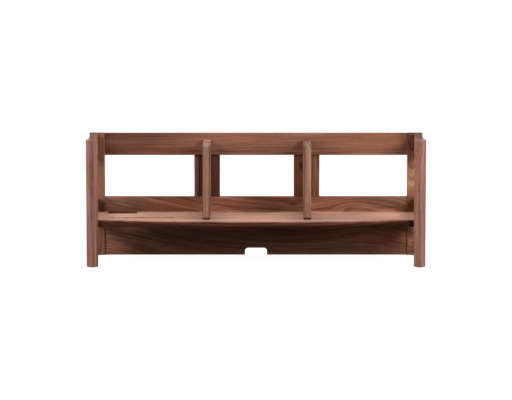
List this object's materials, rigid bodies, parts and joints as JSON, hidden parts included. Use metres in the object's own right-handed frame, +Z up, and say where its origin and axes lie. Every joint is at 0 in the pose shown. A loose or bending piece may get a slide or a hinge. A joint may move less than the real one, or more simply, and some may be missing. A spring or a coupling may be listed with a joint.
{
  "type": "desk shelf",
  "caption": "Wooden shelf unit that stands on a desk: ladder side frames, an open back, a bowed shelf board with a pen tray and cable cut-out, and upright dividers that make three open bays.",
  "frame": {"origin": "on the desk, under the middle of the whole object", "axes": "+X to the right of a person who faces the open front, +Y from the front to the back, +Z up"},
  "size_m": [0.85, 0.222, 0.3215],
  "materials": {
    "walnut_posts": "oiled satin, grain upright",
    "walnut_rails": "oiled satin, grain lengthwise",
    "walnut_boards": "oiled satin, figured grain",
    "dowel_wood": "plain turned beech",
    "felt": "pressed wool felt"
  },
  "bodies": {
    "root": {"front_post_left": "walnut_posts", "front_post_right": "walnut_posts", "rear_post_left": "walnut_posts", "rear_post_right": "walnut_posts", "upper_side_rail_left": "walnut_rails", "upper_side_rail_right": "walnut_rails", "lower_side_rail_left": "walnut_rails", "lower_side_rail_right": "walnut_rails", "top_rail": "walnut_rails", "rear_panel": "walnut_rails", "upright_left": "walnut_rails", "upright_right": "walnut_rails", "divider_left": "walnut_boards", "divider_right": "walnut_boards", "shelf_board": "walnut_boards", "side_dowels_left": "dowel_wood", "side_dowels_right": "dowel_wood", "top_rail_dowels": "dowel_wood", "rear_panel_dowels": "dowel_wood", "upright_dowels": "dowel_wood", "board_end_dowels": "dowel_wood", "board_back_dowels": "dowel_wood", "divider_foot_dowels": "dowel_wood", "divider_back_dowels": "dowel_wood", "foot_pads": "felt"}
  },
  "joints": []
}
